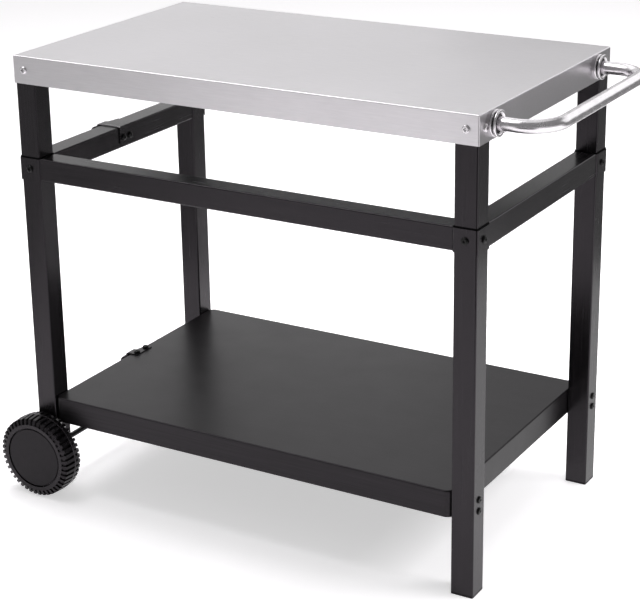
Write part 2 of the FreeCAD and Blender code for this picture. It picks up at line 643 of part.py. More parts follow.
# Wheel: moulded body with hub, web and ribbed tread, its axis along its own Z
def makeWheel():
    body = newBody("wheel_front")
    section = newSketch(body, "WheelSection", "XZ_Plane")
    outline(section, [
        ("Places.boreRadius", "0"), ("Sizes.hubRadius", "0"), ("Sizes.hubRadius", "Sizes.webBack"),
        ("Sizes.backRim", "Sizes.webBack"), ("Sizes.backRim", "0"), ("Places.backRing", "0"),
        ("Places.kneeRadius", "Sizes.kneeInset"), ("Places.wheelRadius", "Places.bandStart"),
        ("Places.wheelRadius", "Places.bandEnd"), ("Places.kneeRadius", "Sizes.wheelWidth - Sizes.kneeInset"),
        ("Places.frontRing", "Sizes.wheelWidth"), ("Sizes.capRadius + Sizes.capGroove", "Sizes.wheelWidth"),
        ("Sizes.capRadius + Sizes.capGroove", "Places.capSeat"), ("Sizes.rimInside", "Places.capSeat"),
        ("Sizes.rimInside", "Places.webFront"), ("Sizes.hubRadius", "Places.webFront"),
        ("Sizes.hubRadius", "Sizes.hubLength"), ("Places.boreRadius", "Sizes.hubLength"),
    ])
    revolve(body, section)
    spoke = newSketch(body, "Spoke", "YZ_Plane")
    rectangle(spoke, "Sizes.hubRadius - Sizes.spokeRoot", "Sizes.spokeSink",
              "Sizes.backRim + Sizes.spokeRoot", "Sizes.webBack + Sizes.spokeRoot")
    repeatRound(body, pad(body, spoke, "Sizes.spokeWidth", midplane=True), "Sizes.spokeCount")
    # a notch beside the band at the front and at the back of the tread
    notch = newSketch(body, "RibNotch", "YZ_Plane")
    outside, beyond = "Places.wheelRadius * 2", "Sizes.wheelWidth * 2"
    knee = "Places.kneeRadius - Sizes.ribDepth"
    outline(notch, [("Places.ribFoot", beyond), ("Places.ribFoot", "Sizes.wheelWidth - Sizes.ribEnd * 1.5"),
                    (knee, "Sizes.wheelWidth - Sizes.kneeInset - Sizes.ribEnd / 2"),
                    ("Places.ribFloor", "Places.bandEnd"), (outside, "Places.bandEnd"), (outside, beyond)])
    outline(notch, [("Places.ribFoot", "-Sizes.wheelWidth"), ("Places.ribFoot", "Sizes.ribEnd"),
                    (knee, "Sizes.kneeInset + Sizes.ribEnd / 2"), ("Places.ribFloor", "Places.bandStart"),
                    (outside, "Places.bandStart"), (outside, "-Sizes.wheelWidth")])
    repeatRound(body, pocket(body, notch, "Sizes.ribNotch", midplane=True), "Sizes.ribCount")
    moveTo(body, "Places.leftLegX", "-Places.wheelBack", "Places.wheelRadius", "front")
    return body


def repeatRound(body, feature, count):
    doc.recompute()
    ring = body.newObject("PartDesign::PolarPattern", "PolarPattern")
    ring.Originals = [feature]
    ring.Axis = (originPart(body, "Z_Axis"), [""])
    ring.Angle = 360
    ring.setExpression("Occurrences", count)
    body.Tip = ring
    doc.recompute()


# Wheel cap: a plain disc with a ring that presses into the wheel
def makeCap():
    body = newBody("wheel_cap_front")
    section = newSketch(body, "CapSection", "XZ_Plane")
    ring = "Sizes.rimInside - Sizes.capRingWall"
    ringEnd = "Places.capSeat - Sizes.capSpigot"
    outline(section, [
        ("0", "Places.capSeat"), (ring, "Places.capSeat"), (ring, ringEnd), ("Sizes.rimInside", ringEnd),
        ("Sizes.rimInside", "Places.capSeat"), ("Sizes.capRadius", "Places.capSeat"),
        ("Sizes.capRadius", "Places.capFace"), ("0", "Places.capFace"),
    ])
    revolve(body, section)
    soften(body, "Fillet", "Sizes.capEdge", lambda e: liesAtHeight(e, cell("Places.capFace")))
    moveTo(body, "Places.leftLegX", "-Places.wheelBack", "Places.wheelRadius", "front")
    return body


def mirrorToRear(label, source):
    copy = doc.addObject("Part::Mirroring", label)
    copy.Label = label
    copy.Source = source
    copy.Base = Vector(0, 0, 0)
    copy.Normal = axisY
    pieces.append(copy)


def makeAxle():
    body = newBody("axle")
    section = newSketch(body, "AxleSection", "XY_Plane")
    circle(section, "0", "0", "Sizes.axleDiameter / 2")
    pad(body, section, "Places.axleEnd * 2", midplane=True)
    soften(body, "Chamfer", "Sizes.axleChamfer", lambda e: len(e.Vertexes) == 1)
    moveTo(body, "Places.leftLegX", "0", "Places.wheelRadius", "front")


# Handle: round tube bent in a level U
def makeHandle():
    body = newBody("handle")
    section = newSketch(body, "TubeSection", "YZ_Plane")
    circle(section, "Places.handleSide", "0", "Sizes.handleDiameter / 2")
    circle(section, "Places.handleSide", "0", "Sizes.handleDiameter / 2 - Sizes.handleWall")
    path = newSketch(body, "TubePath", "XY_Plane")
    edges = bentPath(path, "0", "Places.handleSide", axisX, [
        ("Places.handleLeg",), ("Sizes.handleBend", -90), ("Places.handleBar",),
        ("Sizes.handleBend", -90), ("Places.handleLeg",),
    ])
    doc.recompute()
    pipe(body, section, path, edges)
    moveTo(body, "Places.handleFace", "0", "Places.screwHeight")


# Rosette: two rings with a groove between them, round the end of the handle
def makeRosette(label, side):
    body = newBody(label)
    section = newSketch(body, "RosetteSection", "XZ_Plane")
    bore = "Sizes.handleDiameter / 2 + Sizes.rosetteGap"
    waist = "Sizes.rosetteRadius - Sizes.rosetteGroove"
    upper = "Sizes.rosetteDepth - Sizes.rosetteRing"
    outline(section, [
        (bore, "0"), ("Sizes.rosetteRadius", "0"), ("Sizes.rosetteRadius", "Sizes.rosetteRing"),
        (waist, "Sizes.rosetteRing"), (waist, upper), ("Sizes.rosetteRadius", upper),
        ("Sizes.rosetteRadius", "Sizes.rosetteDepth"), (bore, "Sizes.rosetteDepth"),
    ])
    revolve(body, section)
    rim = cell("Sizes.rosetteRadius")
    soften(body, "Fillet", "Sizes.rosetteEdge",
           lambda e: len(e.Vertexes) == 1 and e.Curve.Radius > rim - closeEnough
           and e.BoundBox.ZMax > closeEnough)
    moveTo(body, "Places.handleFace", signed(side, "Places.handleSide"), "Places.screwHeight", "right")


# Round piece turned from a half section, its axis along Z
def makeTurned(label, points, keep=False):
    body = newBody(label, keep)
    section = newSketch(body, "HalfSection", "XZ_Plane")
    outline(section, points)
    revolve(body, section)
    return body


def ringPoints(bore, outer, height):
    return [(bore, "0"), (outer, "0"), (outer, height), (bore, height)]


# Screw or bolt: its head's underside at height 0, its shank below
def makeBolt(label, shank, head, rise, reach, recess):
    body = makeTurned(label, [("0", f"-({reach})"), (f"{shank} / 2", f"-({reach})"), (f"{shank} / 2", "0"),
                              (head, "0"), (head, rise), ("0", rise)])
    soften(body, "Fillet", f"{rise} * Sizes.headCrown", lambda e: liesAtHeight(e, cell(rise)))
    if recess == "cross":
        for arms in (("Sizes.crossLength", "Sizes.crossWidth"), ("Sizes.crossWidth", "Sizes.crossLength")):
            sketch = newSketch(body, "CrossArm", "XY_Plane", rise)
            centred(sketch, *arms)
            pocket(body, sketch, "Sizes.recessDepth")
    else:
        sketch = newSketch(body, "HexRecess", "XY_Plane", rise)
        hexagon(sketch, "Sizes.hexRecess")
        pocket(body, sketch, "Sizes.recessDepth")
    return body


# Nut: hexagon standing on height 0
def makeNut(label, radius, thickness, shank):
    body = newBody(label, keep=False)
    sketch = newSketch(body, "NutSection", "XY_Plane")
    hexagon(sketch, radius)
    circle(sketch, "0", "0", f"{shank} / 2")
    pad(body, sketch, thickness)
    return body


def placeCopies(label, source, spots):
    # one node of equal pieces, each turned and set in its own place
    links = []
    for turn, x, y, z in spots:
        link = doc.addObject("App::Link", f"{label}_copy")
        link.LinkedObject = source
        moveTo(link, x, y, z, turn, "LinkPlacement")
        links.append(link)
    group = doc.addObject("Part::Compound", label)
    group.Label = label
    group.Links = links
    pieces.append(group)


def cornerSpots(insetX, insetY, height, inwards=False):
    # one place on the front or rear side and one on the left or right side of every corner
    spots = []
    for sx, sy in corners.values():
        faceX = "left" if sx < 0 else "right"
        faceY = "front" if sy < 0 else "rear"
        if inwards:
            faceX = "right" if sx < 0 else "left"
            faceY = "rear" if sy < 0 else "front"
        legX = f"Places.tableMiddle + {signed(sx, 'Places.legSpreadX')}"
        legY = signed(sy, "Places.legSpreadY")
        spots.append((faceY, legX, f"{legY} + {signed(sy, insetY)}", height))
        spots.append((faceX, f"{legX} + {signed(sx, insetX)}", legY, height))
    return spots


def fastenTop():
    screw = makeBolt("top_screw_form", "Sizes.topScrew", "Sizes.topScrewHead", "Sizes.topScrewRise",
                     "Sizes.topGauge * 2 + Sizes.legWall + Sizes.nutThickness + Sizes.boltEnd", "cross")
    face = "Sizes.legSide / 2 + Sizes.topGauge * 2"
    placeCopies("top_screws", screw, cornerSpots(face, face, "Places.screwHeight"))
    nut = makeNut("top_nut_form", "Sizes.nutRadius", "Sizes.nutThickness", "Sizes.topScrew")
    wall = "Places.legInside / 2"
    placeCopies("top_screw_nuts", nut, cornerSpots(wall, wall, "Places.screwHeight", inwards=True))


def fastenFrame():
    screw = makeBolt("frame_screw_form", "Sizes.frameScrew", "Sizes.frameScrewHead", "Sizes.frameScrewRise",
                     "Sizes.socketWall + Sizes.legWall + Sizes.nutThickness + Sizes.boltEnd", "hex")
    face = "Places.socketSide / 2"
    placeCopies("frame_screws", screw, cornerSpots(face, face, "Places.railMiddle"))
    nut = makeNut("frame_nut_form", "Sizes.nutRadius", "Sizes.nutThickness", "Sizes.frameScrew")
    wall = "Places.legInside / 2"
    placeCopies("frame_screw_nuts", nut, cornerSpots(wall, wall, "Places.railMiddle", inwards=True))


def fastenShelf():
    bolt = makeBolt("shelf_bolt_form", "Sizes.shelfBolt", "Sizes.shelfBoltHead", "Sizes.shelfBoltRise",
                    "Sizes.legSide + Sizes.shelfGauge + Sizes.nutThickness + Sizes.boltEnd", "hex")
    nut = makeNut("shelf_nut_form", "Sizes.nutRadius", "Sizes.nutThickness", "Sizes.shelfBolt")
    heads, nuts = [], []
    for sx, sy in corners.values():
        outwards, inwards = ("left", "right") if sx < 0 else ("right", "left")
        legFace = f"Places.tableMiddle + {signed(sx, 'Places.legSpreadX + Sizes.legSide / 2')}"
        wall = f"Places.tableMiddle + {signed(sx, 'Places.shelfLength / 2 - Sizes.shelfGauge')}"
        for height in ("Places.shelfBoltHigh", "Places.shelfBoltLow"):
            heads.append((outwards, legFace, signed(sy, "Places.legSpreadY"), height))
            nuts.append((inwards, wall, signed(sy, "Places.legSpreadY"), height))
    placeCopies("shelf_bolts", bolt, heads)
    placeCopies("shelf_bolt_nuts", nut, nuts)


def fastenWheels():
    washer = makeTurned("wheel_washer_form", ringPoints("Sizes.axleDiameter / 2", "Sizes.washerRadius",
                                                        "Sizes.wheelWasher"))
    legFace = "Places.legSpreadY + Sizes.legSide / 2"
    placeCopies("wheel_washers", washer, [("front", "Places.leftLegX", f"-({legFace})", "Places.wheelRadius"),
                                          ("rear", "Places.leftLegX", legFace, "Places.wheelRadius")])
    nut = makeTurned("push_nut_form", ringPoints("Sizes.axleDiameter / 2", "Sizes.pushNutRadius",
                                                 "Sizes.pushNutLength"))
    start = "Places.pushNutStart"
    placeCopies("axle_push_nuts", nut, [("front", "Places.leftLegX", f"-{start}", "Places.wheelRadius"),
                                        ("rear", "Places.leftLegX", start, "Places.wheelRadius")])


# Plugs in the handle's ends, bolted through the skirt from inside
def fastenHandle():
    inside = "Sizes.handleDiameter / 2 - Sizes.handleWall"
    plug = makeTurned("handle_plug_form", ringPoints("Sizes.handleBolt / 2", inside, "Sizes.handlePlug"))
    washer = makeTurned("handle_washer_form", ringPoints("Sizes.handleBolt / 2 + Sizes.holeSlack",
                                                         "Sizes.handleWasherRadius", "Sizes.handleWasher"))
    bolt = makeBolt("handle_bolt_form", "Sizes.handleBolt", "Sizes.handleBoltHead", "Sizes.handleBoltRise",
                    "Sizes.handleWasher + Sizes.topGauge + Sizes.handlePlug - Sizes.boltEnd * 4", "hex")
    inner = "Places.handleFace - Sizes.topGauge"
    for label, form, turn, x in (
            ("handle_plugs", plug, "right", "Places.handleFace"),
            ("handle_washers", washer, "left", inner),
            ("handle_bolts", bolt, "left", f"{inner} - Sizes.handleWasher")):
        placeCopies(label, form, [(turn, x, signed(side, "Places.handleSide"), "Places.screwHeight")
                                  for side in (1, -1)])


# Hook plate on the left rail: flat on the rail's top, its barrel outside, bolted through its inner flange
def makeRailPlate():
    top, under, tip = "Places.barrelRadius", "Places.barrelBore", "Places.railPlateReach"
    inner, foot = f"{tip} - Sizes.plateGauge", f"{top} - Sizes.railFlange"
    body = startHookPlate("hook_plate_upper", [("0", under), (inner, under), (inner, foot), (tip, foot),
                                               (tip, top), ("0", top)])
    holes = newSketch(body, "BoltHoles", "YZ_Plane")
    for side in (1, -1):
        circle(holes, f"{signed(side, 'Sizes.railPlatePitch / 2')} - Sizes.railPlateShift",
               "Places.railMiddle - Places.railHookZ", "Sizes.hookBolt / 2 + Sizes.holeSlack")
    pocket(body, holes, tip, reverse=True)
    moveTo(body, "Places.railHookX", "0", "Places.railHookZ")


# Hook plate on the left end of the shelf: flat on the sheet, its barrel outside the skirt
def makeShelfPlate():
    top, under, tip = "Places.barrelRadius", "Places.barrelBore", "Places.shelfPlateReach"
    body = startHookPlate("hook_plate_lower", [("0", under), (tip, under), (tip, top), ("0", top)])
    holes = newSketch(body, "BoltHoles", "XY_Plane")
    for side in (1, -1):
        circle(holes, "Places.shelfPlateBoltX - Places.shelfHookX", signed(side, "Sizes.shelfPlatePitch / 2"),
               "Sizes.hookBolt / 2 + Sizes.holeSlack")
    pocket(body, holes, tip, midplane=True)
    moveTo(body, "Places.shelfHookX", "0", "Places.shelfHookZ")


def startHookPlate(label, section):
    # plate with a barrel rolled at its left edge, on the front part, about the body's own Y axis
    body = newBody(label)
    plate = newSketch(body, "PlateSection", "XZ_Plane")
    outline(plate, section)
    pad(body, plate, "Sizes.plateLength", midplane=True)
    slope = newSketch(body, "RearEdge", "XY_Plane")
    outline(slope, [("Places.collarRoom", "Places.barrelRear"), ("-Places.barrelRadius", "Places.barrelRear"),
                    ("-Places.barrelRadius", "Sizes.plateLength"),
                    ("Places.collarRoom + Sizes.plateSlope", "Sizes.plateLength / 2")])
    pocket(body, slope, "Places.socketSide", midplane=True)
    barrel = newSketch(body, "Barrel", "XZ_Plane", "-Places.barrelFront")
    circle(barrel, "0", "0", "Places.barrelRadius")
    pad(body, barrel, "Sizes.barrelLength", reverse=True)
    bore = newSketch(body, "BarrelBore", "XZ_Plane", "-Places.barrelFront")
    circle(bore, "0", "0", "Places.barrelBore")
    pocket(body, bore, "Sizes.barrelLength")
    return body


# Hook: round rod with a pivot along Y, an arm that hangs down and a tip turned outwards
def makeHook(label, x, z):
    body = newBody(label)
    rod = "Sizes.hookRod / 2"
    start = newSketch(body, "PivotSection", "XZ_Plane", "-Sizes.hookPivot")
    circle(start, "0", "0", rod)
    path = newSketch(body, "PivotPath", "YZ_Plane")
    edges = bentPath(path, "Sizes.hookPivot", "0", Vector(-1, 0, 0),
                     [("Places.pivotRun",), ("Sizes.hookBend", 90), ("Sizes.hookStub",)])
    doc.recompute()
    pipe(body, start, path, edges)
    below = newSketch(body, "ArmSection", "XY_Plane", "Places.armStart")
    circle(below, "0", "0", rod)
    curve = newSketch(body, "ArmPath", "XZ_Plane")
    edges = bentPath(curve, "0", "Places.armStart", Vector(0, -1, 0),
                     [("Places.armRun",), ("Sizes.hookCurve", -180), ("Sizes.hookTip",)])
    doc.recompute()
    pipe(body, below, curve, edges)
    for front in ("Sizes.hookPivot", "Sizes.hookPivot - Sizes.hookCollar - Sizes.hookCollarPlay * 2"
                  " - Sizes.barrelLength"):
        collar = newSketch(body, "Collar", "XZ_Plane", f"-({front})")
        circle(collar, "0", "0", "Places.collarRadius")
        pad(body, collar, "Sizes.hookCollar")
    soften(body, "Fillet", "Sizes.hookRod / 4", lambda e: len(e.Vertexes) == 1
           and liesAtHeight(e, e.BoundBox.ZMin) and e.BoundBox.XMax < -cell("Sizes.hookRod"))
    moveTo(body, x, "Places.hookArmY", z)


def fastenHooks():
    nut = makeNut("hook_nut_form", "Sizes.hookNutRadius", "Sizes.hookNut", "Sizes.hookBolt")
    spare = "Sizes.hookNut + Sizes.boltEnd"
    through = makeBolt("rail_hook_bolt_form", "Sizes.hookBolt", "Sizes.hookBoltHead", "Sizes.hookBoltRise",
                       f"Sizes.plateGauge + Sizes.railSide + {spare}", "hex")
    short = makeBolt("shelf_hook_bolt_form", "Sizes.hookBolt", "Sizes.hookBoltHead", "Sizes.hookBoltRise",
                     f"Sizes.plateGauge + Sizes.shelfGauge + {spare}", "hex")
    shifts = [f"{signed(side, 'Sizes.railPlatePitch / 2')} - Sizes.railPlateShift" for side in (1, -1)]
    sides = [signed(side, "Sizes.shelfPlatePitch / 2") for side in (1, -1)]
    boltX, nutX = "Places.railOutside + Sizes.railSide + Sizes.plateGauge", "Places.railOutside"
    placeCopies("hook_bolts_upper", through, [("right", boltX, y, "Places.railMiddle") for y in shifts])
    placeCopies("hook_nuts_upper", nut, [("left", nutX, y, "Places.railMiddle") for y in shifts])
    plateTop, sheetBottom = "Sizes.shelfHeight + Sizes.plateGauge", "Sizes.shelfHeight - Sizes.shelfGauge"
    placeCopies("hook_bolts_lower", short, [("up", "Places.shelfPlateBoltX", y, plateTop) for y in sides])
    placeCopies("hook_nuts_lower", nut, [("down", "Places.shelfPlateBoltX", y, sheetBottom) for y in sides])


makeTabletop()
makeChannel("top_channel_front", "-Sizes.topChannelOffset", "Places.legTop")
makeChannel("top_channel_rear", "Sizes.topChannelOffset", "Places.legTop")
for corner, (sx, sy) in corners.items():
    makeUpperLeg(corner, sx, sy)
    makeLowerLeg(corner, sx, sy)
    makeSocket(corner, sx, sy)
    if sx > 0:
        makeLegEnd(f"foot_{corner}", sx, sy, "Sizes.footSole", "0")
    else:
        makeLegEnd(f"leg_plug_{corner}", sx, sy, "Sizes.plugHead", "Sizes.leftLegEnd - Sizes.plugHead")
makeRims()
makeFrontRail()
makeSideRail("left_rail", -1)
makeSideRail("right_rail", 1)
makeShelf()
makeChannel("shelf_channel", "0", "Sizes.shelfHeight - Sizes.shelfGauge")
fastenTop()
fastenFrame()
fastenShelf()
makeAxle()
frontWheel, frontCap = makeWheel(), makeCap()
mirrorToRear("wheel_rear", frontWheel)
mirrorToRear("wheel_cap_rear", frontCap)
fastenWheels()
makeHandle()
makeRosette("handle_rosette_front", -1)
makeRosette("handle_rosette_rear", 1)
fastenHandle()
makeRailPlate()
makeShelfPlate()
makeHook("hook_upper", "Places.railHookX", "Places.railHookZ")
makeHook("hook_lower", "Places.shelfHookX", "Places.shelfHookZ")
fastenHooks()
doc.recompute()

for item in doc.Objects:
    if "Invalid" in item.State or "Error" in item.State:
        raise RuntimeError(f"{item.Label} failed: {item.State}")
for piece in pieces:
    if piece.Shape.isNull() or not piece.Shape.isValid():
        raise RuntimeError(f"{piece.Label} has no valid shape")
os.makedirs("parts", exist_ok=True)
for piece in pieces:
    piece.Shape.exportStep(f"parts/{piece.Label}.step")
print(len(pieces), "pieces", sum(len(piece.Shape.Solids) for piece in pieces), "solids")
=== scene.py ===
import json
import math
import bpy
from mathutils import Matrix, Vector


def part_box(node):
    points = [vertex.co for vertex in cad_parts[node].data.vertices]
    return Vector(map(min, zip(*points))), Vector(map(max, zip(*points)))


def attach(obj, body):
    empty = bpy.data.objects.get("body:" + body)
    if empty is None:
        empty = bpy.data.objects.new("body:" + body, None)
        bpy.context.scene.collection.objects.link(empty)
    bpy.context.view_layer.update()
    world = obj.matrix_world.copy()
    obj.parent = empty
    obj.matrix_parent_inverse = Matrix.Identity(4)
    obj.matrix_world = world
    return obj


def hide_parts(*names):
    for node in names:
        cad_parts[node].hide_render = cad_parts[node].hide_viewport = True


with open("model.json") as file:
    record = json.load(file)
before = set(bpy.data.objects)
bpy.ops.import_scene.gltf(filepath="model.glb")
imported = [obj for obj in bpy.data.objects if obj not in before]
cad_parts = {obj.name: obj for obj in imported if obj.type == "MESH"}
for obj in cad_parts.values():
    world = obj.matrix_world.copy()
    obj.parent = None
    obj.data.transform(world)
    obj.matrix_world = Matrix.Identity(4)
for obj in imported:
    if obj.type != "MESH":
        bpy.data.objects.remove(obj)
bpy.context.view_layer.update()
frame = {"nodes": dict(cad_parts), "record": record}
nodes = frame["nodes"]
print("frame loaded:", len(nodes), "CAD nodes")

# The picture is 640 x 610 pixels; angles are in degrees, lengths in metres and the sensor in millimetres
photoView = {
    "imageWidth": 640,
    "imageHeight": 610,
    "turn": 30.716,
    "down": 18.676,
    "roll": -0.919,
    "distance": 3.2614,
    "target": (-0.0202, 0.0, 0.4701),
    "sensor": 36,
    "focalPixels": 1840.75,
    "axisColumn": 316,
    "axisRow": 240,
}


def makeCamera():
    view = photoView
    data = bpy.data.cameras.new("photoCamera")
    data.sensor_fit = "HORIZONTAL"
    data.sensor_width = view["sensor"]
    data.lens = view["sensor"] * view["focalPixels"] / view["imageWidth"]
    data.shift_x = (view["imageWidth"] / 2 - view["axisColumn"]) / view["imageWidth"]
    data.shift_y = (view["axisRow"] - view["imageHeight"] / 2) / view["imageWidth"]
    camera = bpy.data.objects.new("photoCamera", data)
    bpy.context.scene.collection.objects.link(camera)
    turned = (Matrix.Rotation(math.radians(view["turn"]), 4, "Z")
              @ Matrix.Rotation(math.radians(90 - view["down"]), 4, "X")
              @ Matrix.Rotation(math.radians(view["roll"]), 4, "Z"))
    ahead = turned.to_3x3() @ Vector((0, 0, -1))
    place = Vector(view["target"]) - ahead * view["distance"]
    camera.matrix_world = Matrix.Translation(place) @ turned
    bpy.context.scene.camera = camera


# Pale paper floor that glows a little, as on a light table, under two soft lamps
studio = {
    "floorSize": 60,
    "floorColor": (0.90, 0.875, 0.90, 1),
    "floorRoughness": 0.95,
    "floorGlow": 0.52,
    "lamps": {
        "topLamp": {"at": (-0.5, 0.7, 3.4), "towards": (0, 0, 0.3), "size": (3.2, 2.6), "watts": 132},
        "rightLamp": {"at": (2.2, 0.5, 2.0), "towards": (0.9, 0.3, 0), "size": (1.2, 1.2), "watts": 36},
    },
}


# The sky is dim all round, and brighter behind the table and to its left
sky = {
    "brightSide": (-0.78, 0.62, 0.12),
    "dim": 0.26,
    "bright": 0.61,
    "from": 0.5,
    "to": 1.0,
}


# Cards that stand round the table: where the foot is, what the card faces, how high it starts and its glow
cards = {
    "rightFlag": {"foot": (1.12, 1.20), "faces": (0.35, 0.0), "low": 0.0,
                  "width": 2.2, "height": 0.82, "glow": 0.26},
    "barPanel": {"foot": (1.20, 1.75), "faces": (0.45, 0.0), "low": 0.95,
                 "width": 2.6, "height": 1.5, "glow": 1.4},
    "backPanel": {"foot": (-1.60, 1.98), "faces": (0.0, 0.0), "low": 0.35,
                  "width": 1.6, "height": 0.95, "glow": 1.1},
    "highPanel": {"foot": (-1.90, 2.35), "faces": (0.0, 0.0), "low": 2.2,
                  "width": 3.4, "height": 2.0, "glow": 1.6},
    "leftFlag": {"foot": (-1.51, -1.115), "faces": (-0.42, -0.257), "low": 0.0,
                 "width": 1.4, "height": 1.1, "glow": 0.60},
    "frontFlag": {"foot": (0.60, -1.35), "faces": (0.09, -0.49), "low": 0.0,
                  "width": 1.3, "height": 0.7, "glow": 0.04},
}


# Cards that lie flat, just over the floor or overhead, with the turn of their length in degrees
flatCards = {
    "backStrip": {"middle": (0.643, 1.55), "lift": 0.003, "turn": 59.7,
                  "length": 1.9, "width": 0.42, "glow": 0.03},
    "rightStrip": {"middle": (0.930, 0.80), "lift": 0.003, "turn": 59.7,
                   "length": 1.7, "width": 0.74, "glow": 1.22},
    "leftStrip": {"middle": (-1.170, -0.83), "lift": 0.003, "turn": 56,
                  "length": 0.9, "width": 0.24, "glow": 0.20},
    "overhead": {"middle": (-0.5, 0.7), "lift": 3.3, "turn": 0,
                 "length": 3.2, "width": 2.6, "glow": 0.9},
    "edgeCard": {"middle": (-1.50, -0.75), "lift": 3.3, "turn": 0,
                 "length": 2.4, "width": 1.9, "glow": 6.0},
}


def glowing(name, strength):
    material = bpy.data.materials.new(name)
    material.use_nodes = True
    shader = material.node_tree.nodes["Principled BSDF"]
    shader.inputs["Base Color"].default_value = (0, 0, 0, 1)
    shader.inputs["Specular IOR Level"].default_value = 0
    shader.inputs["Emission Color"].default_value = (1, 1, 1, 1)
    shader.inputs["Emission Strength"].default_value = strength
    return material


def makeFloor():
    bpy.ops.object.select_all(action="DESELECT")
    bpy.ops.mesh.primitive_plane_add(size=studio["floorSize"])
    floor = bpy.context.object
    floor.name = "studio_floor"
    paper = glowing("palePaper", studio["floorGlow"])
    shader = paper.node_tree.nodes["Principled BSDF"]
    shader.inputs["Base Color"].default_value = studio["floorColor"]
    shader.inputs["Roughness"].default_value = studio["floorRoughness"]
    floor.data.materials.append(paper)


def addCard(name, place, turn, size, glow):
    bpy.ops.object.select_all(action="DESELECT")
    bpy.ops.mesh.primitive_plane_add(size=1, location=place, rotation=turn)
    card = bpy.context.object
    card.name = name
    card.scale = (*size, 1)
    card.data.materials.append(glowing(f"{name}Glow", glow))
    # It shows in reflections only
    card.visible_camera = False
    card.visible_diffuse = False
    card.visible_shadow = False
    card.visible_transmission = False


def makeCards():
    for name, card in cards.items():
        middle = Vector((*card["foot"], card["low"] + card["height"] / 2))
        aim = Vector((*card["faces"], middle.z)) - middle
        turn = aim.to_track_quat("Z", "Y").to_euler()
        addCard(name, middle, turn, (card["width"], card["height"]), card["glow"])
    for name, card in flatCards.items():
        middle = (*card["middle"], card["lift"])
        turn = (0, 0, math.radians(card["turn"]))
        addCard(name, middle, turn, (card["length"], card["width"]), card["glow"])


def makeSky():
    world = bpy.data.worlds.new("studioWorld")
    bpy.context.scene.world = world
    world.use_nodes = True
    tree = world.node_tree
    spot = tree.nodes.new("ShaderNodeTexCoord")
    facing = tree.nodes.new("ShaderNodeVectorMath")
    facing.operation = "DOT_PRODUCT"
    facing.inputs[1].default_value = Vector(sky["brightSide"]).normalized()
    tree.links.new(spot.outputs["Generated"], facing.inputs[0])
    spread = tree.nodes.new("ShaderNodeMapRange")
    spread.interpolation_type = "SMOOTHSTEP"
    spread.inputs["From Min"].default_value = sky["from"]
    spread.inputs["From Max"].default_value = sky["to"]
    spread.inputs["To Min"].default_value = sky["dim"]
    spread.inputs["To Max"].default_value = sky["bright"]
    tree.links.new(facing.outputs["Value"], spread.inputs["Value"])
    tree.links.new(spread.outputs["Result"], tree.nodes["Background"].inputs["Strength"])
    tree.nodes["Background"].inputs["Color"].default_value = (1, 1, 1, 1)


def makeLamps():
    for name, lamp in studio["lamps"].items():
        data = bpy.data.lights.new(name, "AREA")
        data.shape = "RECTANGLE"
        data.size, data.size_y = lamp["size"]
        data.energy = lamp["watts"]
        piece = bpy.data.objects.new(name, data)
        bpy.context.scene.collection.objects.link(piece)
        piece.location = lamp["at"]
        aim = Vector(lamp["towards"]) - piece.location
        piece.rotation_euler = aim.to_track_quat("-Z", "Y").to_euler()
        # It lights the table but isn't mirrored in the steel: the cards are
        piece.visible_camera = False
        piece.visible_glossy = False


bpy.context.scene.view_settings.view_transform = "Standard"
makeCamera()
makeFloor()
makeCards()
makeSky()
makeLamps()
print("camera, floor and lights set")


# Steps that the materials share; every pattern reads Object coordinates
noiseRoughness = 0.55
noiseBand = (0.3, 0.7)  # noise seldom leaves this range, so tones and roughness are spread over it


def newMaterial(name):
    material = bpy.data.materials.new(name)
    material.use_nodes = True
    tree = material.node_tree
    shader = tree.nodes["Principled BSDF"]
    spot = tree.nodes.new("ShaderNodeTexCoord")
    return material, tree, shader, spot.outputs["Object"]


def compute(tree, operation, *values):
    # Each value is a number or another node's output
    node = tree.nodes.new("ShaderNodeMath")
    node.operation = operation
    for socket, value in zip(node.inputs, values):
        if isinstance(value, bpy.types.NodeSocket):
            tree.links.new(value, socket)
        else:
            socket.default_value = value
    return node.outputs["Value"]


def average(tree, first, second):
    return compute(tree, "DIVIDE", compute(tree, "ADD", first, second), 2)


def noise(tree, vector, scale, detail):
    texture = tree.nodes.new("ShaderNodeTexNoise")
    texture.inputs["Scale"].default_value = scale
    texture.inputs["Detail"].default_value = detail
    texture.inputs["Roughness"].default_value = noiseRoughness
    tree.links.new(vector, texture.inputs["Vector"])
    return texture.outputs["Fac"]


def streaked(tree, spot, axis, along, across, detail):
    # Noise drawn out along one axis; the mapping holds both scales
    mapping = tree.nodes.new("ShaderNodeMapping")
    mapping.inputs["Scale"].default_value = tuple(along if name == axis else across for name in "XYZ")
    tree.links.new(spot, mapping.inputs["Vector"])
    return noise(tree, mapping.outputs["Vector"], 1, detail)


def blendColors(tree, factor, low, high, band=noiseBand):
    ramp = tree.nodes.new("ShaderNodeValToRGB")
    first, last = ramp.color_ramp.elements
    first.position, last.position = band
    first.color = (*low, 1)
    last.color = (*high, 1)
    tree.links.new(factor, ramp.inputs["Fac"])
    return ramp.outputs["Color"]


def between(tree, factor, low, high, band=noiseBand):
    spread = tree.nodes.new("ShaderNodeMapRange")
    spread.inputs["From Min"].default_value = band[0]
    spread.inputs["From Max"].default_value = band[1]
    spread.inputs["To Min"].default_value = low
    spread.inputs["To Max"].default_value = high
    tree.links.new(factor, spread.inputs["Value"])
    return spread.outputs["Result"]


def bump(tree, height, distance, under=None):
    node = tree.nodes.new("ShaderNodeBump")
    node.inputs["Distance"].default_value = distance
    tree.links.new(height, node.inputs["Height"])
    if under is not None:
        tree.links.new(under, node.inputs["Normal"])
    return node.outputs["Normal"]


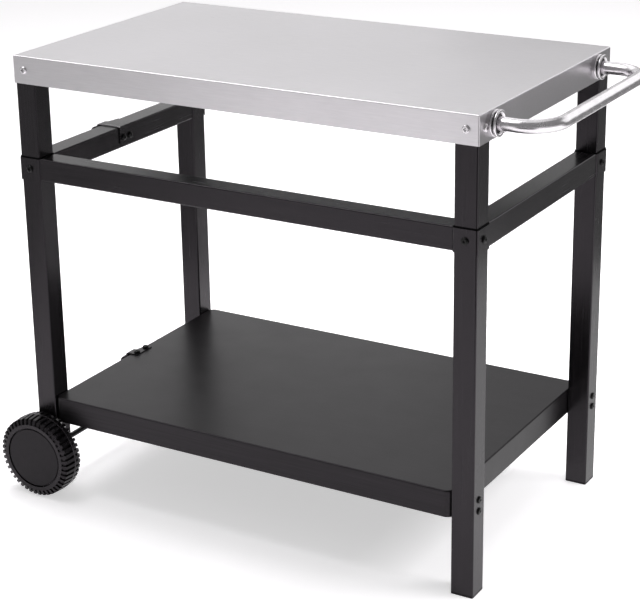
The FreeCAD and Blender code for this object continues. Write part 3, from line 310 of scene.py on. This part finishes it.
def mixColor(tree, factor, tone, color):
    blend = tree.nodes.new("ShaderNodeMix")
    blend.data_type = "RGBA"
    blend.inputs["B"].default_value = color
    tree.links.new(factor, blend.inputs["Factor"])
    tree.links.new(tone, blend.inputs["A"])
    return blend.outputs["Result"]


def splitAxes(tree, spot):
    apart = tree.nodes.new("ShaderNodeSeparateXYZ")
    tree.links.new(spot, apart.inputs["Vector"])
    return apart.outputs


def insideRange(tree, value, least, most):
    # 1 between the two numbers and 0 outside of them
    above = compute(tree, "GREATER_THAN", value, least)
    below = compute(tree, "LESS_THAN", value, most)
    return compute(tree, "MULTIPLY", above, below)


def insideBox(tree, spot, low, high):
    apart = splitAxes(tree, spot)
    wide, deep, tall = (insideRange(tree, apart[axis], least, most)
                        for axis, least, most in zip("XYZ", low, high))
    return compute(tree, "MULTIPLY", compute(tree, "MULTIPLY", wide, deep), tall)


# Satin steel: fine scratches along the brushing, faint broader bands, a little wear in the tone.
# Whatever lies deeper than the pan's outer skin, its underside and inner faces, is painted dark grey as
# painted shade
brushedSteel = {
    "dark": (0.608, 0.590, 0.610),
    "light": (0.680, 0.660, 0.682),
    "toneBand": (0.15, 0.85),
    # painted shade for the pan's underside and inner faces
    "inside": (0.18, 0.18, 0.185, 1),
    "skin": 0.0005,
    "roughness": (0.27, 0.37),
    "lineScale": 1500,
    "lineStretch": 14,
    "lineDetail": 4,
    "lineDepth": 0.00003,
    "markScale": 420,
    "markStretch": 30,
    "markDetail": 3,
    "markDepth": 0.00004,
    "cloudScale": 5,
    "cloudDetail": 4,
}


def makeBrushedSteel(axis):
    material, tree, shader, spot = newMaterial(f"brushedSteel{axis}")
    steel = brushedSteel
    lines = streaked(tree, spot, axis, steel["lineStretch"], steel["lineScale"], steel["lineDetail"])
    marks = streaked(tree, spot, axis, steel["markStretch"], steel["markScale"], steel["markDetail"])
    cloud = noise(tree, spot, steel["cloudScale"], steel["cloudDetail"])
    shader.inputs["Metallic"].default_value = 1
    tone = blendColors(tree, marks, steel["dark"], steel["light"], steel["toneBand"])
    low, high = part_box("tabletop")
    skin = steel["skin"]
    # Painted shade: the pan's underside and inner faces, deeper than its skin, take the dark grey
    inside = insideBox(tree, spot, (low[0] + skin, low[1] + skin, 0), tuple(edge - skin for edge in high))
    tree.links.new(mixColor(tree, inside, tone, steel["inside"]), shader.inputs["Base Color"])
    worn = average(tree, lines, cloud)
    tree.links.new(between(tree, worn, *steel["roughness"]), shader.inputs["Roughness"])
    fine = bump(tree, lines, steel["lineDepth"])
    tree.links.new(bump(tree, marks, steel["markDepth"], fine), shader.inputs["Normal"])
    return material


# Polished tube: bright, with soft smears and hairline marks
polishedSteel = {
    "dark": (0.66, 0.64, 0.66),
    "light": (0.78, 0.757, 0.78),
    "roughness": (0.20, 0.30),
    "smearScale": 38,
    "smearDetail": 5,
    "hairScale": 900,
    "hairDetail": 3,
    "hairDepth": 0.00001,
}


# On a rosette the gap round the tube and the groove between the rings are painted black, as painted shade:
# the gap lies within a radius of the tube's line, and the groove between two heights over the skirt
grooveShade = {
    "radius": 0.0148,
    "from": 0.0037,
    "to": 0.0063,
    "color": (0.03, 0.029, 0.03, 1),
}


def ringPlace():
    # The skirt's face along X, and the middle of the rear rosette, which the front one mirrors
    low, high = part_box("handle_rosette_rear")
    return low[0], (0, (low[1] + high[1]) / 2, (low[2] + high[2]) / 2)


# Paints black shade into a rosette's gap round the tube and into its groove
def withGrooveShade(tree, spot, tone, skirt, middle):
    apart = splitAxes(tree, spot)
    flat = tree.nodes.new("ShaderNodeCombineXYZ")
    tree.links.new(compute(tree, "ABSOLUTE", apart["Y"]), flat.inputs["Y"])
    tree.links.new(apart["Z"], flat.inputs["Z"])
    away = tree.nodes.new("ShaderNodeVectorMath")
    away.operation = "DISTANCE"
    away.inputs[1].default_value = middle
    tree.links.new(flat.outputs["Vector"], away.inputs[0])
    gapShade = compute(tree, "LESS_THAN", away.outputs["Value"], grooveShade["radius"])
    grooveShadeBand = insideRange(tree, apart["X"], skirt + grooveShade["from"], skirt + grooveShade["to"])
    return mixColor(tree, compute(tree, "MAXIMUM", gapShade, grooveShadeBand), tone, grooveShade["color"])


def makePolishedSteel(name, ring=None):
    material, tree, shader, spot = newMaterial(name)
    steel = polishedSteel
    smear = noise(tree, spot, steel["smearScale"], steel["smearDetail"])
    hair = noise(tree, spot, steel["hairScale"], steel["hairDetail"])
    shader.inputs["Metallic"].default_value = 1
    tone = blendColors(tree, smear, steel["dark"], steel["light"])
    if ring is not None:
        # painted shade in the gap and the groove
        tone = withGrooveShade(tree, spot, tone, *ring)
    tree.links.new(tone, shader.inputs["Base Color"])
    worn = average(tree, smear, hair)
    tree.links.new(between(tree, worn, *steel["roughness"]), shader.inputs["Roughness"])
    tree.links.new(bump(tree, hair, steel["hairDepth"]), shader.inputs["Normal"])
    return material


# Bright zinc plate with a faint spangle
zincSteel = {
    "dark": (0.46, 0.47, 0.48),
    "light": (0.60, 0.61, 0.62),
    "roughness": (0.28, 0.45),
    "scale": 140,
    "band": (0, 1),
}


def makeZincSteel():
    material, tree, shader, spot = newMaterial("zincSteel")
    zinc = zincSteel
    spangle = tree.nodes.new("ShaderNodeTexVoronoi")
    spangle.inputs["Scale"].default_value = zinc["scale"]
    tree.links.new(spot, spangle.inputs["Vector"])
    patches = spangle.outputs["Color"]
    shader.inputs["Metallic"].default_value = 1
    tone = blendColors(tree, patches, zinc["dark"], zinc["light"], zinc["band"])
    tree.links.new(tone, shader.inputs["Base Color"])
    tree.links.new(between(tree, patches, *zinc["roughness"], zinc["band"]), shader.inputs["Roughness"])
    return material


# Satin powder coat: faint drawing lines of the tube below it, orange peel and slow cloudiness
powderCoat = {
    "dark": (0.0012, 0.0011, 0.0012),
    "light": (0.0105, 0.0095, 0.0105),
    "roughness": (0.20, 0.29),
    "specular": 0.33,
    "tint": (1.0, 0.91, 1.0, 1),
    "streakScale": 420,
    "streakStretch": 7,
    "streakDetail": 4,
    "streakDepth": 0.00003,
    "peelScale": 1100,
    "peelDetail": 2,
    "peelDepth": 0.00003,
    "cloudScale": 16,
    "cloudDetail": 5,
}
shelfCoat = {  # the shelf's broad sheet took a coarser coat than the tubes
    **powderCoat,
    "roughness": (0.29, 0.38),
    "specular": 0.27,
}


# The cut front edge of the upper hook's plate, painted pale as a painted highlight
edgeHighlight = {
    "depth": 0.0015,
    "over": 0.0018,
    "color": (0.50, 0.48, 0.50, 1),
}


def edgeHighlightBox():
    low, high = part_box("hook_plate_upper")
    depth = edgeHighlight["depth"]
    lowCorner = (low[0], low[1] - depth, high[2] - edgeHighlight["over"])
    highCorner = (high[0] + depth, low[1] + depth, high[2] + depth)
    return lowCorner, highCorner


def makePowderCoat(name, coat, axis, highlightBox=None):
    material, tree, shader, spot = newMaterial(name)
    streaks = streaked(tree, spot, axis, coat["streakStretch"], coat["streakScale"], coat["streakDetail"])
    peel = noise(tree, spot, coat["peelScale"], coat["peelDetail"])
    cloud = noise(tree, spot, coat["cloudScale"], coat["cloudDetail"])
    shader.inputs["Specular IOR Level"].default_value = coat["specular"]
    shader.inputs["Specular Tint"].default_value = coat["tint"]
    tone = blendColors(tree, streaks, coat["dark"], coat["light"])
    # painted highlight on the plate's cut front edge
    if highlightBox is not None:
        tone = mixColor(tree, insideBox(tree, spot, *highlightBox), tone, edgeHighlight["color"])
    tree.links.new(tone, shader.inputs["Base Color"])
    worn = average(tree, streaks, cloud)
    tree.links.new(between(tree, worn, *coat["roughness"]), shader.inputs["Roughness"])
    fine = bump(tree, peel, coat["peelDepth"])
    tree.links.new(bump(tree, streaks, coat["streakDepth"], fine), shader.inputs["Normal"])
    return material


# Blackened steel of screws, bolts and the axle
blackOxide = {
    "dark": (0.002, 0.002, 0.002),
    "light": (0.005, 0.005, 0.005),
    "roughness": (0.20, 0.32),
    "specular": 0.22,
    "cloudScale": 700,
    "cloudDetail": 3,
}


def makeBlackOxide():
    material, tree, shader, spot = newMaterial("blackOxide")
    oxide = blackOxide
    cloud = noise(tree, spot, oxide["cloudScale"], oxide["cloudDetail"])
    shader.inputs["Specular IOR Level"].default_value = oxide["specular"]
    tree.links.new(blendColors(tree, cloud, oxide["dark"], oxide["light"]), shader.inputs["Base Color"])
    tree.links.new(between(tree, cloud, *oxide["roughness"]), shader.inputs["Roughness"])
    return material


# Moulded black plastic: fine spark grain, slow patches of sheen
mouldedPlastic = {
    "dark": (0.0035, 0.0032, 0.0035),
    "light": (0.0080, 0.0072, 0.0080),
    "roughness": (0.30, 0.44),
    "specular": 0.18,
    "tint": (1.0, 0.91, 1.0, 1),
    "grainScale": 1400,
    "grainDetail": 2,
    "grainDepth": 0.00006,
    "patchScale": 45,
    "patchDetail": 4,
}
# Painted shade: the rims' darker tone stands for the shade they lie in; they are also rougher
dullShadedPlastic = {  # the sockets' rims lie deep in shade between the tubes
    **mouldedPlastic,
    "dark": (0.0015, 0.0015, 0.0016),
    "light": (0.0028, 0.0027, 0.0029),
    "roughness": (0.70, 0.85),
    "specular": 0.03,
}
tyrePlastic = {  # the tyres are glossier
    **mouldedPlastic,
    "light": (0.0090, 0.0081, 0.0090),
    "roughness": (0.22, 0.32),
    "specular": 0.27,
}


# A pale line round each tread, a painted highlight on the ridge of its middle band, between two distances
# from the table's middle
treadRidgeHighlight = {
    "from": 0.2786,
    "to": 0.2794,
    "color": (0.085, 0.077, 0.085, 1),
}


def withRidgeHighlight(tree, spot, tone, ridgeHighlight):
    side = compute(tree, "ABSOLUTE", splitAxes(tree, spot)["Y"])
    return mixColor(tree, insideRange(tree, side, ridgeHighlight["from"], ridgeHighlight["to"]), tone, ridgeHighlight["color"])


def makePlastic(name, plastic, ridgeHighlight=None):
    material, tree, shader, spot = newMaterial(name)
    grain = noise(tree, spot, plastic["grainScale"], plastic["grainDetail"])
    patches = noise(tree, spot, plastic["patchScale"], plastic["patchDetail"])
    shader.inputs["Specular IOR Level"].default_value = plastic["specular"]
    shader.inputs["Specular Tint"].default_value = plastic["tint"]
    tone = blendColors(tree, patches, plastic["dark"], plastic["light"])
    if ridgeHighlight is not None:
        # painted highlight round the tread
        tone = withRidgeHighlight(tree, spot, tone, ridgeHighlight)
    tree.links.new(tone, shader.inputs["Base Color"])
    tree.links.new(between(tree, patches, *plastic["roughness"]), shader.inputs["Roughness"])
    tree.links.new(bump(tree, grain, plastic["grainDepth"]), shader.inputs["Normal"])
    return material


coatAlong = {axis: makePowderCoat(f"powderCoat{axis}", powderCoat, axis) for axis in "XYZ"}
finishes = {
    "brushed_stainless": makeBrushedSteel("X"),
    "bright_stainless": makePolishedSteel("polishedSteel"),
    "zinc_steel": makeZincSteel(),
    "black_powder_coat": coatAlong["X"],
    "black_oxide_steel": makeBlackOxide(),
    "black_plastic": makePlastic("mouldedPlastic", mouldedPlastic),
}
# the tyres' material carries the painted highlight round each tread
treadPlastic = makePlastic("tyrePlastic", tyrePlastic, treadRidgeHighlight)
rosetteSteel = makePolishedSteel("rosetteSteel", ringPlace())

# Nodes whose finish differs from the others in their slot, and the coated rails that run along Y
ownFinishes = {
    "shelf": makePowderCoat("shelfCoatX", shelfCoat, "X"),
    "hook_plate_upper": makePowderCoat("plateCoatY", powderCoat, "Y", edgeHighlightBox()),
    "socket_rims": makePlastic("dullShadedPlastic", dullShadedPlastic),
    "wheel_front": treadPlastic,
    "wheel_rear": treadPlastic,
    "left_rail": coatAlong["Y"],
    "right_rail": coatAlong["Y"],
}
upright = ("upper_leg", "lower_leg", "corner_socket", "hook")  # beginnings of names


def finishOf(name, slot):
    if name in ownFinishes:
        return ownFinishes[name]
    if slot == "black_powder_coat" and name.startswith(upright):
        return coatAlong["Z"]
    return finishes[slot]


def dressNodes():
    for part in frame["record"]["subparts"]:
        node = nodes[part["node"]]
        node.data.materials.clear()
        node.data.materials.append(finishOf(part["node"], part["material_slot"]))


dressNodes()
print("materials set on", len(nodes), "nodes")


# Rosettes as seen: two rounded rings with a deep groove between, the outer one dished round the tube.
# The profile holds (radius, height) in millimetres, with heights from the skirt outwards
rosette = {
    "profile": [(11.1, 0), (20.5, 0), (21.2, 0.3), (21.5, 1.0), (21.5, 2.4), (21.1, 3.1), (20.3, 3.4),
                (18.0, 3.6), (17.4, 4.4), (17.4, 5.8), (18.0, 6.4),
                (20.3, 6.6), (21.1, 6.9), (21.5, 7.6), (21.5, 8.7), (21.2, 9.5), (20.4, 10.0),
                (18.2, 10.0), (17.0, 9.6), (16.2, 8.6), (15.6, 6.2), (14.4, 5.0), (11.1, 4.8)],
    "perMetre": 1000,
    "sides": 72,
    "merge": 0.000001,
    "smoothAngle": 40,
}


def makeRosette(node, body):
    bpy.ops.object.select_all(action="DESELECT")
    low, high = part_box(node)
    perMetre = rosette["perMetre"]
    profile = [(radius / perMetre, height / perMetre) for radius, height in rosette["profile"]]
    last = profile[0]
    bpy.ops.mesh.primitive_circle_add(vertices=rosette["sides"], radius=last[0])
    piece = bpy.context.object
    piece.name = f"{node}_turned"
    bpy.ops.object.mode_set(mode="EDIT")
    bpy.ops.mesh.select_all(action="SELECT")
    for point in profile[1:] + profile[:1]:
        rise = point[1] - last[1]
        grow = point[0] / last[0]
        bpy.ops.mesh.extrude_edges_move(TRANSFORM_OT_translate={"value": (0, 0, rise)})
        bpy.ops.transform.resize(value=(grow, grow, 1), center_override=(0, 0, 0))
        last = point
    bpy.ops.mesh.select_all(action="SELECT")
    bpy.ops.mesh.remove_doubles(threshold=rosette["merge"])
    bpy.ops.mesh.normals_make_consistent(inside=False)
    bpy.ops.object.mode_set(mode="OBJECT")
    piece.rotation_euler = (0, math.radians(90), 0)
    piece.location = (low[0], (low[1] + high[1]) / 2, (low[2] + high[2]) / 2)
    bpy.ops.object.transform_apply(location=True, rotation=True, scale=True)
    bpy.ops.object.shade_smooth_by_angle(angle=math.radians(rosette["smoothAngle"]))
    piece.data.materials.append(rosetteSteel)
    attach(piece, body)
    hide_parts(node)


makeRosette("handle_rosette_front", "root")
makeRosette("handle_rosette_rear", "root")
print("rosettes turned")

bpy.context.view_layer.update()
